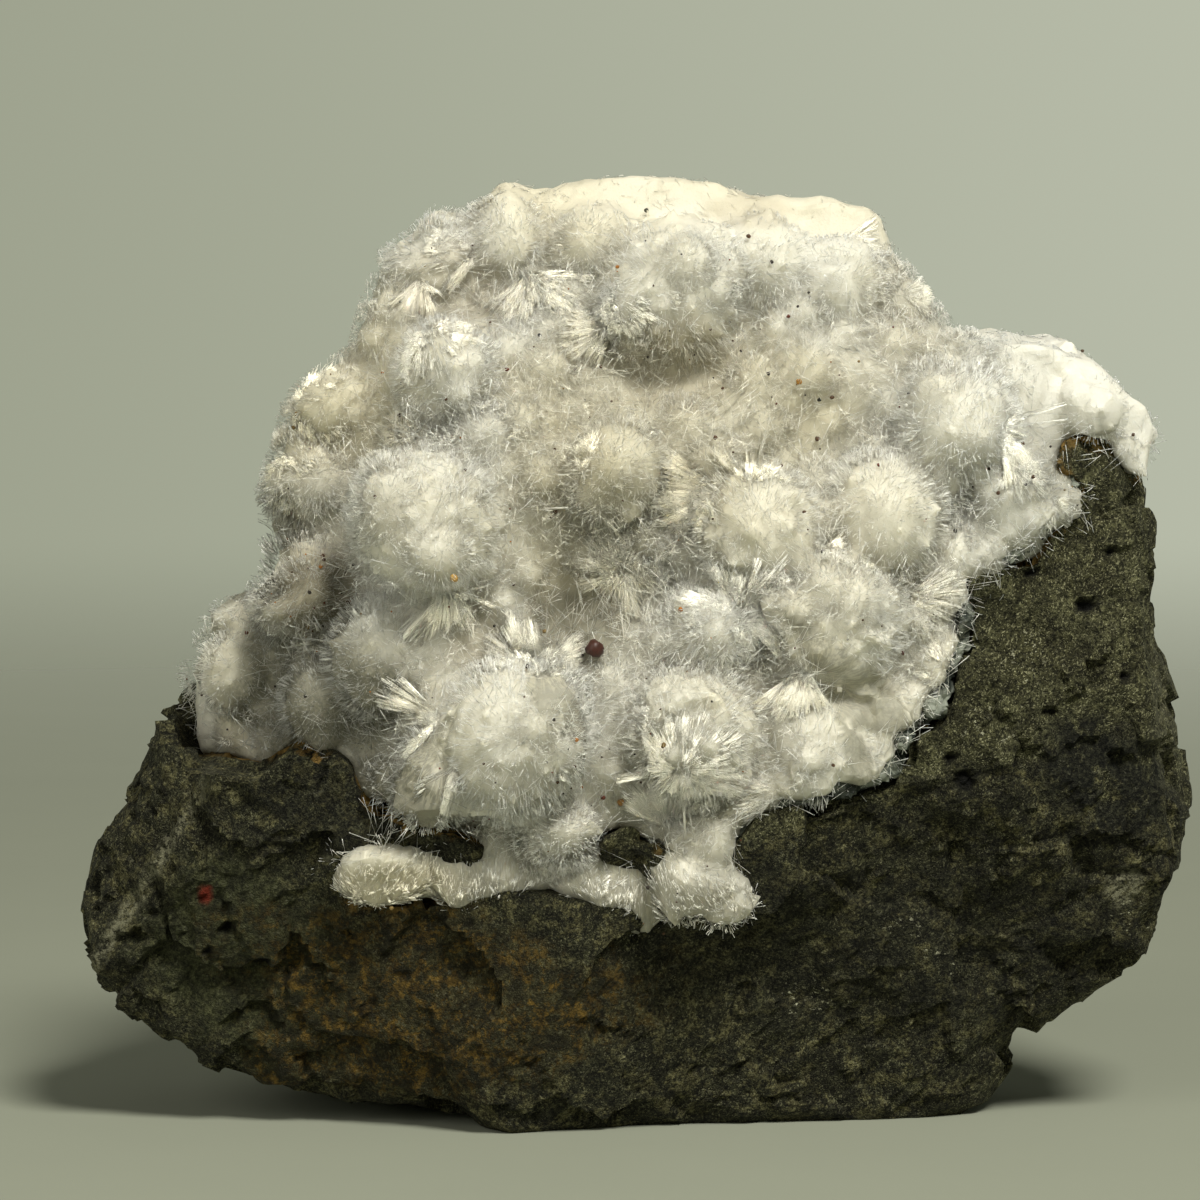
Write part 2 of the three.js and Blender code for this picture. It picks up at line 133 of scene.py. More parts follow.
# The larger grains: x, z, radius, colour.
BEADS = [
    (-3.5, 38.7, 0.72, (0.06, 0.012, 0.006)), (-10.6, 60.5, 0.2, (0.2, 0.05, 0.02)),
    (12.6, 59.8, 0.22, (0.5, 0.24, 0.03)), (14, 58.4, 0.18, (0.03, 0.03, 0.02)),
    (-14.9, 45.4, 0.34, (0.75, 0.45, 0.12)), (0.4, 72.6, 0.2, (0.06, 0.06, 0.04)),
    (3.2, 42.4, 0.18, (0.6, 0.22, 0.03)), (-1.6, 27.4, 0.28, (0.4, 0.2, 0.04)),
    (-8, 63.2, 0.16, (0.02, 0.02, 0.02)),
]
# The low tongue's parts that are stretched up and down: x, z, half width, by how much.
TONGUE_STRETCHES = [(-12.5, 20.4, 6, 0.8), (-21.4, 20, 3.6, -0.22), (0, 19.4, 5, 0.6)]

# The next six lists hold patches: share, x, z, half width, half height and, for some, how uneven
# the edge is and the seed of that. First, where the tongue moves up.
TONGUE_LIFTS = [(1.3, -9, 20, 17, 5), (1.4, -21, 18.6, 6, 5)]
# Where the okenite is cream, and where it is brown: on the ball under the big one partly dirt and
# partly painted shadow.
CREAM_PLACES = [
    (0.4, -25, 60, 8, 10), (0.4, -32, 36, 4, 8), (0.55, 2, 58, 15, 8), (0.35, -6, 54, 6, 4),
    (0.6, -19, 20, 7, 3), (0.3, -4, 46, 5, 8),
]
BROWN_PLACES = [(0.4, -14, 67, 5, 4), (0.75, -26, 43, 3.6, 4.4), (0.3, 8.6, 73, 4, 1.4)]
# Where the needles are thin over dark stone, and painted shade where they lie deep in hollows and
# slots.
THIN_AND_SHADED_PLACES = [
    (0.8, -26, 35, 7, 6), (0.9, -19.5, 28, 5.5, 3), (0.5, -23, 31, 9, 6), (0.6, -26, 43, 4, 4.6),
    (0.18, 0, 55, 16, 8), (0.25, -2, 45, 6, 8), (0.5, 31.6, 51.6, 4, 3), (0.6, -5, 39.8, 5, 4),
    (0.8, -28.6, 48, 1.8, 3.8), (0.3, 2, 19, 9, 2.4), (0.3, -11, 20, 4, 2), (0.5, 6, 21, 2.6, 3),
    (0.35, -9, 28.8, 2, 1.6), (0.4, -15.8, 61, 1.4, 3),
]
# Where the stone has a dark coating, partly painted shadow where the okenite overhangs it at the
# left, and where a chip shows it pale.
DARK_PLACES = [
    (1, 37, 27.5, 5.5, 6, 0.5), (0.45, 18, 16, 22, 8, 0.6), (0.6, -22, 25.5, 14, 4, 0.6, 5),
]
CHIPS = [
    (0.7, 38.6, 19.4, 1.6, 1.6, 0.6), (0.5, -24.8, 22.4, 0.8, 0.7, 0.6), (0.3, 42.4, 35, 2, 8, 0.4),
]

# Gas bubbles open on the show face: x, z, half width, half height.
VESICLES = [
    (35.3, 42, 1, 0.62), (32.4, 33.8, 0.5, 0.35), (24.4, 30.2, 0.5, 0.5), (29.6, 29.6, 0.35, 0.35),
    (-30.2, 13.6, 0.7, 0.4), (-32.8, 16.4, 0.6, 0.45), (-34.4, 14.6, 0.3, 0.3),
    (37.4, 46.4, 0.4, 0.3), (31, 44.8, 0.45, 0.35), (38.6, 36.2, 0.4, 0.4), (-37.4, 12, 0.3, 0.25),
    (25.6, 28, 1, 0.9),
]
# Scuffed places on the stone: x, z, half width, half height.
SCUFFS = [
    (20.8, 16.4, 2.4, 1.6), (23.2, 13.2, 2, 1.4), (12.8, 10.8, 2.6, 1.6), (30, 38, 3, 2.4),
    (27, 33, 3, 2), (40, 17, 2, 2),
]
# The edge between the stone's paler upper face and its darker lower one, as x then z.
RIDGE = [(-30, 8, 20.8, 28.8, 37.6, 44), (26, 23.6, 28.4, 30.8, 31.2, 27.6)]

# ---- Colours ----
NEEDLE_WHITE = (0.985, 0.965, 0.88)
NEEDLE_PALENESS = 0.35  # how far the needles' own tint goes towards that white
# painted shade: the mass between the needles is darker and warmer than they are
MASS_DEPTHS = (0.84, 0.83, 0.795)  # the mass's tint is darker, by this in red, green and blue
# Iron oxides and clays, and how often each comes.
SPECK_BROWNS = [
    (0.1, 0.045, 0.015), (0.03, 0.02, 0.012), (0.5, 0.2, 0.03), (0.16, 0.03, 0.01),
    (0.3, 0.2, 0.06),
]
SPECK_SHARES = (0.36, 0.28, 0.12, 0.14, 0.1)

# ---- Studio, in metres ----
FLOOR_RADIUS = 0.8
FLOOR_SIDES = 96
# Name, place, diameter, power in watts, colour.
LAMPS = [
    ("key", (0.28, -0.58, 0.8), 0.32, 10.8, (1.0, 0.985, 0.9)),
    ("fill", (-0.7, -0.7, 0.5), 0.7, 3.2, (1.0, 0.98, 0.9)),
]
LAMP_TARGET = (0, 0, 0.04)
CAMERA_TARGET = (-3.2, -8, 42)  # mm
CAMERA_DISTANCE = 0.52
CAMERA_ELEVATION = 4.5  # degrees
PICTURE_WIDTH = 0.096  # at the target


# ---- Noise ----
def lattice(i, j, k, seed):
    """A fixed random value from 0 to 1 at each whole-numbered point."""
    n = (i * 374761393 + j * 668265263 + k * 1274126177 + seed * 974634777) & 0xFFFFFFFF
    n = ((n ^ (n >> 13)) * 1103515245) & 0xFFFFFFFF
    n = ((n ^ (n >> 15)) * 2246822519) & 0xFFFFFFFF
    return (n ^ (n >> 16)) / 0xFFFFFFFF


def smooth_noise(points, size, seed=0):
    """Smooth noise from -1 to 1, whose lumps are about size across."""
    q = points / size
    cell = np.floor(q).astype(np.int64)
    part = q - cell
    ease = part * part * (3 - 2 * part)
    total = np.zeros(len(points))
    for corner in range(8):
        offset = np.array([corner & 1, corner >> 1 & 1, corner >> 2 & 1])
        share = np.prod(np.where(offset == 1, ease, 1 - ease), axis=1)
        total += share * lattice(*(cell + offset).T, seed)
    return 2 * total - 1


def rough_noise(points, size, octaves=4, seed=0):
    """Summed noise at halving sizes, from about -1 to 1."""
    total = np.zeros(len(points))
    for octave in range(octaves):
        total += 0.5**octave * smooth_noise(points, size / 2**octave, seed + octave)
    return total / 1.6


def noise_ways(points, size, seed):
    """Smooth noise along each axis."""
    return np.stack([smooth_noise(points, size, seed + axis) for axis in range(3)], axis=1)


def chipped(points, size, tilt, seed):
    """Small tilted faces that meet at steps, as broken stone has: a height at each point."""
    warped = points + 0.3 * size * noise_ways(points, 0.8 * size, seed)
    draws = np.random.default_rng(seed)
    surface = 14000  # square millimetres of stone, near enough
    cells = min(int(surface / size**2), len(points) // 8)
    seeds = points[draws.choice(len(points), cells, replace=False)]
    leans = draws.normal(0, tilt, (cells, 3))
    tree = KDTree(cells)
    for i, place in enumerate(seeds):
        tree.insert(place, i)
    tree.balance()
    nearest = np.array([tree.find(point)[1] for point in warped])
    return dot(leans[nearest], points - seeds[nearest])


def fade(value, low, high):
    """0 below low, 1 above high and eased between."""
    t = np.clip((value - low) / (high - low), 0, 1)
    return t * t * (3 - 2 * t)


def near(points, x, z, radius_x, radius_z, rough=0.35, seed=3):
    """A patch seen from the front, 1 at its middle and 0 outside its uneven edge."""
    edge = np.hypot((points[:, 0] - x) / radius_x, (points[:, 2] - z) / radius_z)
    inner, outer = 0.6, 1.1
    reached = edge < outer + 1.2 * rough  # the noise can't bring a point from farther out
    uneven = rough * rough_noise(points[reached], 5, 4, seed)
    value = np.zeros(len(points))
    value[reached] = 1 - fade(edge[reached] + uneven, inner, outer)
    return value


def patched(points, patches, *edge):
    """Patches seen from the front, each with its share, summed."""
    return sum(share * near(points, *patch, *edge) for share, *patch in patches)


def unit(vectors):
    """The vectors at length 1."""
    return vectors / np.maximum(np.linalg.norm(vectors, axis=1, keepdims=True), 1e-12)


def dot(first, second):
    """The product of each pair of rows."""
    return np.einsum("ij,ij->i", first, second)


# ---- Mesh helpers ----
def placed(name, data):
    """A new object in the scene."""
    piece = bpy.data.objects.new(name, data)
    bpy.context.scene.collection.objects.link(piece)
    return piece


def remeshed(node, voxel, name):
    """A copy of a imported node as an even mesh."""
    piece = placed(name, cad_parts[node].data.copy())
    modifier = piece.modifiers.new("Remesh", "REMESH")
    modifier.mode = "VOXEL"
    modifier.voxel_size = voxel * MM
    modifier.adaptivity = 0
    shape = piece.evaluated_get(bpy.context.evaluated_depsgraph_get())
    mesh = bpy.data.meshes.new_from_object(shape)
    piece.modifiers.clear()
    piece.data = mesh
    mesh.name = name
    mesh.materials.clear()
    return piece


def points_of(mesh):
    co = np.empty(3 * len(mesh.vertices))
    mesh.vertices.foreach_get("co", co)
    return co.reshape(-1, 3) / MM


def normals_of(mesh):
    no = np.empty(3 * len(mesh.vertices))
    mesh.vertex_normals.foreach_get("vector", no)
    return no.reshape(-1, 3)


def set_points(mesh, points):
    mesh.vertices.foreach_set("co", (points * MM).astype(np.float32).ravel())
    mesh.update()


def relaxed(mesh, rounds):
    """Evens out a surface: points move between their neighbours, then back almost as far."""
    edges = np.empty(2 * len(mesh.edges), dtype=np.int64)
    mesh.edges.foreach_get("vertices", edges)
    a, b = edges.reshape(-1, 2).T
    size = len(mesh.vertices)
    count = np.bincount(a, minlength=size) + np.bincount(b, minlength=size)
    points = points_of(mesh)
    for step in (0.6, -0.57) * rounds:
        sums = np.stack([
            np.bincount(a, points[b, axis], size) + np.bincount(b, points[a, axis], size)
            for axis in range(3)
        ], axis=1)
        points = (1 - step) * points + step * sums / count[:, None]
    set_points(mesh, points)


def tree_of(mesh):
    """For finding the nearest place on a mesh, in millimetres."""
    polygons = [tuple(polygon.vertices) for polygon in mesh.polygons]
    return BVHTree.FromPolygons([tuple(p) for p in points_of(mesh)], polygons)


def packed_tree(node):
    return tree_of(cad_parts[node].data)


def heights(tree, points):
    """How far each point stands clear of a closed body, and less than 0 inside it."""
    result = np.empty(len(points))
    for i, point in enumerate(points):
        found, normal, _, distance = tree.find_nearest(point)
        result[i] = math.copysign(distance, (Vector(point) - found).dot(normal))
    return result


def surface_samples(mesh, count, weight):
    """Random places on a surface and their normals, more of them where the weight is more."""
    mesh.calc_loop_triangles()
    corners = np.empty(3 * len(mesh.loop_triangles), dtype=np.int64)
    mesh.loop_triangles.foreach_get("vertices", corners)
    points = points_of(mesh)[corners.reshape(-1, 3)]
    a, b, c = points[:, 0], points[:, 1], points[:, 2]
    across = np.cross(b - a, c - a)
    area = np.linalg.norm(across, axis=1)
    normal = unit(across)
    share = area * weight((a + b + c) / 3, normal)
    chosen = random.choice(len(area), count, p=share / share.sum())
    u, v = random.random(count), random.random(count)
    flip = u + v > 1
    u[flip], v[flip] = 1 - u[flip], 1 - v[flip]
    place = a[chosen] + (b - a)[chosen] * u[:, None] + (c - a)[chosen] * v[:, None]
    return place, normal[chosen]


def joined(name, points, faces, tints, material):
    """A piece of many small closed shapes: points, triangles and a tint for each point."""
    mesh = bpy.data.meshes.new(name)
    mesh.vertices.add(len(points))
    mesh.loops.add(faces.size)
    mesh.polygons.add(len(faces))
    mesh.vertices.foreach_set("co", (points * MM).astype(np.float32).ravel())
    mesh.loops.foreach_set("vertex_index", faces.astype(np.int32).ravel())
    mesh.polygons.foreach_set("loop_start", np.arange(0, faces.size, 3, dtype=np.int32))
    mesh.update(calc_edges=True)
    finish_piece(placed(name, mesh), material, "okenite")
    paint_tint(mesh, tints)


def paint(mesh, name, values, kind="FLOAT", field="value"):
    """Stores something for each point of the mesh, for its material."""
    stored = mesh.attributes.new(name, kind, "POINT")
    stored.data.foreach_set(field, values.astype(np.float32).ravel())


def paint_tint(mesh, colours):
    rgba = np.hstack([colours, np.ones((len(colours), 1))])
    paint(mesh, "tint", rgba, "FLOAT_COLOR", "color")


def finish_piece(piece, material, slot, *nodes):
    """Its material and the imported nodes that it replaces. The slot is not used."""
    piece.data.materials.append(material)
    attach(piece, "root")
    if nodes:
        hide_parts(*nodes)


# ---- Materials ----
class Nodes:
    """Builds a node tree with short calls."""

    def __init__(self, tree):
        self.tree = tree

    def add(self, kind, **inputs):
        return self.set(self.tree.nodes.new(kind), **inputs)

    def set(self, node, **inputs):
        for key, value in inputs.items():
            self.put(node.inputs[key.replace("_", " ")], value)
        return node

    def put(self, socket, value):
        if isinstance(value, bpy.types.NodeSocket):
            self.tree.links.new(value, socket)
        elif socket.type == "RGBA":
            socket.default_value = (*value, 1.0)
        else:
            socket.default_value = value

    def fill(self, node, *values):
        """Gives a node its first inputs in their order."""
        for socket, value in zip(node.inputs, values):
            self.put(socket, value)
        return node.outputs[0]

    def attribute(self, name, output="Fac"):
        node = self.add("ShaderNodeAttribute")
        node.attribute_name = name
        return node.outputs[output]

    def patch(self, name, share):
        """A share of a value painted on the mesh."""
        return self.math("MULTIPLY", self.attribute(name), share)

    def place(self):
        return self.add("ShaderNodeTexCoord").outputs["Object"]

    def noise(self, size, detail=4.0, roughness=0.6, vector=None):
        node = self.add(
            "ShaderNodeTexNoise", Vector=vector or self.place(),
            Scale=1 / (size * MM), Detail=detail, Roughness=roughness,
        )
        return node.outputs["Fac"]

    def stretched(self, turn, scale):
        """The place, turned and then squeezed along its axes, for streaks."""
        turned = self.add("ShaderNodeMapping", Vector=self.place(), Rotation=turn)
        return self.add("ShaderNodeMapping", Vector=turned.outputs[0], Scale=scale).outputs[0]

    def between(self, value, low, high, to_low=0.0, to_high=1.0):
        node = self.add("ShaderNodeMapRange")
        node.interpolation_type = "SMOOTHSTEP"
        return self.fill(node, value, low, high, to_low, to_high)

    def mix(self, share, first, second, blend="MIX"):
        """Two colours mixed: their sockets are 6 and 7, and the result's is 2."""
        node = self.add("ShaderNodeMix")
        node.data_type = "RGBA"
        node.blend_type = blend
        for index, value in ((0, share), (6, first), (7, second)):
            self.put(node.inputs[index], value)
        return node.outputs[2]

    def math(self, operation, *values):
        node = self.add("ShaderNodeMath")
        node.operation = operation
        return self.fill(node, *values)


class Material(Nodes):
    """A Principled material with its node tree."""

    def __init__(self, name):
        self.material = bpy.data.materials.new(name)
        self.material.use_nodes = True
        super().__init__(self.material.node_tree)
        self.shader = self.tree.nodes["Principled BSDF"]

    def bump(self, height, strength, distance):
        node = self.add("ShaderNodeBump", Height=height, Strength=strength, Distance=distance * MM)
        self.put(self.shader.inputs["Normal"], node.outputs["Normal"])

    def spread_light(self):
        """Light goes in and comes out nearby, as in okenite's packed fibres."""
        self.shader.subsurface_method = "BURLEY"
        spread = {"Weight": 1.0, "Radius": (1.0, 0.95, 0.85), "Scale": 0.8 * MM}
        for name, value in spread.items():
            self.put(self.shader.inputs["Subsurface " + name], value)


def basalt_body(n, grainy):
    """Fine dark grains in clouds, darker below the ridge and at the low left, partly wear and
    partly painted shade, with pale feldspar laths.
    """
    body = grainy(0.4, 0.62, (0.013, 0.0135, 0.007), (0.112, 0.112, 0.066))
    clouds = n.between(n.noise(5, 5, 0.75), 0.42, 0.58, 0, 0.75)
    body = n.mix(clouds, body, grainy(0.4, 0.65, (0.01, 0.01, 0.005), (0.06, 0.058, 0.03)))
    worn_and_shaded = grainy(0.42, 0.64, (0.005, 0.005, 0.003), (0.03, 0.031, 0.018))
    olive = grainy(0.4, 0.62, (0.018, 0.016, 0.007), (0.155, 0.145, 0.08))
    worn_and_shaded = n.mix(n.between(n.noise(2.2, 6, 0.8), 0.505, 0.56, 0, 0.85), worn_and_shaded, olive)
    # painted shade, partly wear: the face below the ridge and the low left take the darker colour
    low = n.patch("low", n.between(n.noise(2.5, 5, 0.7), 0.3, 0.5, 0.55, 1))
    body = n.mix(low, body, worn_and_shaded)
    laths = 0.0
    for turn in ((0.3, 0.2, 0.4), (1.2, 0.9, 1.7), (2.1, 0.4, 2.9)):
        streak = n.noise(0.13, 1, 0.5, n.stretched(turn, (1, 0.22, 0.8)))
        laths = n.math("MAXIMUM", n.between(streak, 0.645, 0.71), laths)
    laths = n.math("MULTIPLY", laths, n.between(low, 0, 1, 0.75, 0.3))
    return n.mix(laths, body, (0.3, 0.295, 0.21))


def basalt_material():
    """The stone, coated, stained, scuffed and given painted shade where paint_stone says."""
    n = Material("basalt")
    grain = n.noise(0.32, 5, 0.8)

    def grainy(low, high, dark, light):
        return n.mix(n.between(grain, low, high), dark, light)

    body = basalt_body(n, grainy)
    # dark coating, partly painted shadow under the okenite's overhang
    coat_and_shade = grainy(0.42, 0.66, (0.003, 0.0034, 0.0026), (0.036, 0.037, 0.026))
    body = n.mix(n.patch("dark", n.between(n.noise(1.8, 4, 0.7), 0.4, 0.5)), body, coat_and_shade)
    green = grainy(0.35, 0.7, (0.014, 0.016, 0.007), (0.062, 0.067, 0.036))
    body = n.mix(n.attribute("green"), body, green)
    body = n.mix(n.patch("stain", 0.6), body, (0.024, 0.02, 0.007))
    rusty = n.between(n.noise(0.7, 4, 0.7), 0.35, 0.62)
    rust = n.mix(rusty, (0.018, 0.013, 0.004), (0.145, 0.09, 0.02))
    blotch = n.between(n.noise(1.5, 6, 0.85), 0.49, 0.55, 0, 0.85)
    body = n.mix(n.patch("stain", blotch), body, rust)
    streaks = n.noise(0.3, 3, 0.75, n.stretched((0.3, 0.4, 1.1), (1, 0.35, 0.6)))
    body = n.mix(n.patch("scuff", n.between(streaks, 0.6, 0.68)), body, (0.4, 0.4, 0.34))
    patches = n.between(n.noise(1.3, 5, 0.8), 0.4, 0.6)
    shading = n.mix(patches, (0.6, 0.585, 0.47), (1.6, 1.57, 1.3))
    body = n.mix(1.0, body, shading, "MULTIPLY")
    ochre = n.mix(n.noise(0.5, 3), (0.16, 0.08, 0.015), (0.5, 0.33, 0.1))
    body = n.mix(n.patch("ochre", n.between(n.noise(0.8, 4), 0.42, 0.56)), body, ochre)
    pale = n.patch("pale", n.between(n.noise(0.6, 5, 0.75), 0.42, 0.58))
    body = n.mix(pale, body, (0.3, 0.29, 0.19))
    body = n.mix(n.attribute("red"), body, (0.16, 0.018, 0.006))
    # painted shade: near black inside each gas bubble
    body = n.mix(n.attribute("pit_shade"), body, (0.004, 0.004, 0.003))
    roughness = n.between(grain, 0.3, 0.75, 0.95, 0.55)
    n.set(n.shader, Base_Color=body, Roughness=roughness, Specular_IOR_Level=0.22)
    n.bump(n.math("ADD", grain, n.noise(0.16, 2)), 1.0, 0.3)
    return n.material


def quartz_material():
    """Small grey crystals, dark in places as clear ones look over stone."""
    n = Material("quartz")
    cloud = n.noise(2.2, 4, 0.65)
    colour = n.mix(n.between(cloud, 0.4, 0.6), (0.035, 0.042, 0.036), (0.3, 0.32, 0.27))
    n.set(n.shader, Base_Color=colour, Roughness=0.16, IOR=1.54)
    return n.material


def crust_material():
    """The milky mass of needles packed side by side."""
    n = Material("okenite_milk")
    ray = n.attribute("ray", "Vector")
    fibre = n.add("ShaderNodeTexNoise", Vector=ray, Scale=1, Detail=3, Roughness=0.6).outputs["Fac"]
    stained = n.between(n.noise(1.6, 4, 0.6), 0.35, 0.65, 0.15, 0)
    colour = n.mix(stained, n.attribute("tint", "Color"), (0.6, 0.55, 0.4))
    # painted shade between the fibres, as strong as the rays value says
    gap_shade = n.patch("rays", n.between(fibre, 0.58, 0.38, 0, 0.55))
    colour = n.mix(gap_shade, colour, (0.62, 0.58, 0.45))
    n.set(n.shader, Base_Color=colour, Roughness=0.6, Specular_IOR_Level=0.3)
    n.spread_light()
    n.bump(n.math("ADD", fibre, n.noise(0.2, 2, 0.7)), 0.5, 0.1)
    return n.material


def needle_material():
    """Glassy fibres that glint at their blunt tips."""
    n = Material("okenite_needles")
    stained = n.between(n.noise(0.9, 2), 0.3, 0.7, 0.06, 0)
    colour = n.mix(stained, n.attribute("tint", "Color"), (0.7, 0.68, 0.58))
    n.set(n.shader, Base_Color=colour, Roughness=0.2, IOR=1.54)
    n.spread_light()
    return n.material


def speck_material():
    """Grains of iron oxide and clay caught in the needles."""
    n = Material("specks")
    dirty = n.between(n.noise(0.2, 3), 0.35, 0.65, 0, 0.5)
    colour = n.mix(dirty, n.attribute("tint", "Color"), (0.02, 0.012, 0.008))
    n.set(n.shader, Base_Color=colour, Roughness=0.45)
    return n.material


# ---- Basalt ----
def stone_relief(points, clear):
    """Broken faces and grain, and a lip of stone that stands up in front of the okenite."""
    hackly = 0.35 + 0.65 * fade(rough_noise(points, 9, 3, 1), -0.3, 0.4)
    height = chipped(points, 7, 0.12, 21) + hackly * chipped(points, 2.6, 0.2, 22)
    height += 0.26 * rough_noise(points, 1.4, 3, 7)
    height = np.clip(height, -1, 0.6)
    lip = fade(clear, -0.6, 0.2) * (1 - fade(clear, 0.5, 2))
    return height + 0.25 * lip * fade(26 - points[:, 2], 0, 3)


def bubbled(points, height, front):
    """The height with the gas bubbles sunk in it, and 1 inside them, where painted shade goes, and
    0 elsewhere.
    """
    pit_shade = np.zeros(len(points))
    for x, z, half_width, half_height in VESICLES:
        away = np.hypot((points[:, 0] - x) / half_width, (points[:, 2] - z) / half_height)
        inside = front * (1 - fade(away, 0.75, 1.15))
        height = height - 0.9 * inside * min(1, half_width / 0.6)
        pit_shade = np.maximum(pit_shade, inside)
    return height, pit_shade


def make_stone():
    stone = remeshed("basalt_matrix", STONE_VOXEL, "basalt")
    mesh = stone.data
    relaxed(mesh, 2)
    points, normals = points_of(mesh), normals_of(mesh)
    front = fade(-points[:, 1], 2, 8)
    reached = (points[:, 1] < 0) & (points[:, 2] > 14)
    clear = np.full(len(points), 9.0)  # how far off the okenite is: far, where not worked out
    clear[reached] = heights(packed_tree("okenite_crust"), points[reached])
    height, pit_shade = bubbled(points, stone_relief(points, clear), front)
    height = height * fade(points[:, 2], 0.05, 1.2)  # the resting face stays flat
    points += normals * height[:, None]
    points[:, 2] = np.maximum(points[:, 2], 0)
    set_points(mesh, points)
    paint_stone(mesh, points, front, pit_shade, clear)
    finish_piece(stone, basalt_material(), "basalt", "basalt_matrix")
    return stone


def paint_stone(mesh, points, front, pit_shade, clear):
    """Patches of coating, stain and wear, and of painted shade, for the stone's material."""
    x, z = points[:, 0], points[:, 2]
    rough = rough_noise(points, 3, 4, 9)
    # painted shade, partly wear: the face below the ridge, turned down from the lamp, and the low
    # left
    below_ridge = fade(np.interp(x, *RIDGE) - z + 1.5 * rough, -0.6, 1) * front
    low_left = fade(-x, 6, 14) * fade(34 - z, 0, 3)
    scar = np.abs(z - 14 - 1.6 * (x + 43)) / 1.9  # a pale line that climbs the left end
    pale = 0.75 * (1 - fade(scar + 0.8 * np.abs(rough), 0.3, 1)) * fade(-x, 33, 36) * front
    contact = (1 - fade(clear, 0.35, 0.95)) * fade(clear, -0.1, 0.2)
    scuff = 0.12 + sum(near(points, *patch, 0.5) for patch in SCUFFS)
    paint(mesh, "low", np.clip(below_ridge + low_left, 0, 1) * 0.9)
    paint(mesh, "dark", np.clip(patched(points, DARK_PLACES) * front, 0, 1))
    paint(mesh, "green", 0.85 * near(points, -32, 13.5, 10, 9) * front * (1 - pale))
    paint(mesh, "stain", near(points, -17, 11, 17, 9, 0.5) * front)
    paint(mesh, "ochre", np.clip(contact * front, 0, 1))
    paint(mesh, "pale", np.clip(pale + patched(points, CHIPS) * front, 0, 1))
    paint(mesh, "scuff", np.clip(scuff, 0, 1) * front)
    paint(mesh, "red", near(points, -34.4, 19.1, 0.55, 0.75) * front)
    paint(mesh, "pit_shade", pit_shade)


# ---- Quartz ----
def shown(points, places):
    """1 at the middle of each place, given as x, z, radius, and 0 outside them all."""
    return np.maximum.reduce([near(points, x, z, size, size, 0.3) for x, z, size in places])


def make_quartz():
    quartz = remeshed("quartz_lining", QUARTZ_VOXEL, "quartz")
    mesh = quartz.data
    points, normals = points_of(mesh), normals_of(mesh)
    points += normals * chipped(points, 1.1, 0.5, 31).clip(-0.3, 0.4)[:, None]
    points[:, 1] += 1.3 * (1 - shown(points, QUARTZ_SHOWS))  # back, where the okenite hides it
    set_points(mesh, points)
    finish_piece(quartz, quartz_material(), "quartz", "quartz_lining")


# ---- Okenite ----
def face_depths(x, z):
    """The depth y of each broad face at x, z: the deepest is the crust's own."""
    return np.array([
        on[1] - (way[0] * (x - on[0]) + way[2] * (z - on[2])) / way[1] for way, on in CRUST_FACES
    ])


def face_at(x, z):
    """The crust's broad face at x, z: its depth y and the way it looks."""
    depths = face_depths(x, z)
    which = int(np.argmax(depths))
    return depths[which], Vector(CRUST_FACES[which][0]).normalized()


def compact(points):
    """1 on the broken edges, where needles are cut short and packed, and 0 on the grown face."""
    x, y, z = points.T
    rough = 1.5 * rough_noise(points, 4, 3, 17)
    top = fade(z + 0.12 * x + rough, 71.5, 73.5)
    right = fade(x + rough, 29, 32) * fade(z + rough, 55, 58)
    behind = fade(y - face_depths(x, z).max(axis=0) + 0.5 * rough, 1.4, 3.4)
    return np.clip(np.maximum.reduce([top, right, behind]), 0, 1)


def tint(points, thin):
    """The okenite's colour: white, cream where it is weathered, grey where it is thin, and painted
    shade, brown in the hollows and grey where the needles lie deep.
    """
    white = (0.92, 0.91, 0.865)
    cream = (0.86, 0.79, 0.6)
    tan = (0.42, 0.34, 0.21)
    grey = (0.24, 0.235, 0.19)
    x, z = points[:, 0], points[:, 2]
    uneven = rough_noise(points, 7, 4, 41)
    thin = thin * (1 - compact(points))
    creamy = 0.25 + 0.35 * uneven + 0.35 * fade(z + 3 * uneven, 69, 75)
    creamy += patched(points, CREAM_PLACES) - 0.5 * fade(x, 22, 34)
    # painted shade: brown in the hollows and under the big ball, grey where the needles lie deep
    browned_and_shaded = patched(points, BROWN_PLACES) + 0.4 * shown(points, HOLLOWS)
    thin_and_shaded = patched(points, THIN_AND_SHADED_PLACES, 0.5)
    colour = white
    for share, other in ((creamy, cream), (browned_and_shaded, tan), (thin_and_shaded, grey), (0.75 * thin, grey)):
        share = np.clip(share, 0, 1)[:, None]
        colour = colour * (1 - share) + other * share
    return colour


def domes(points, centres, cores):
    """How far each point lies outside the puffballs' cores, which run together softly."""
    total = np.full(len(points), 1e-12)
    for i, (centre, core) in enumerate(zip(centres, cores)):
        away = np.linalg.norm(points - centre, axis=1)
        close = away < core + 2.5
        out = unit(points[close] - centre)
        uneven = core * (1 + 0.08 * smooth_noise(out + 3.7 * i, 0.6, 61))
        total[close] += np.exp(-(away[close] - uneven) / SEAM_SOFTNESS)
    return -SEAM_SOFTNESS * np.log(total)


def fan_apexes(tree):
    """The middle of each broken spray on the crust, and the way the face looks there."""
    apexes, ways = [], []
    for x, z, *_ in FANS:
        depth, way = face_at(x, z)
        apexes.append(tree.find_nearest(Vector((x, depth, z)))[0])
        ways.append(way)
    return np.array(apexes), np.array(ways)


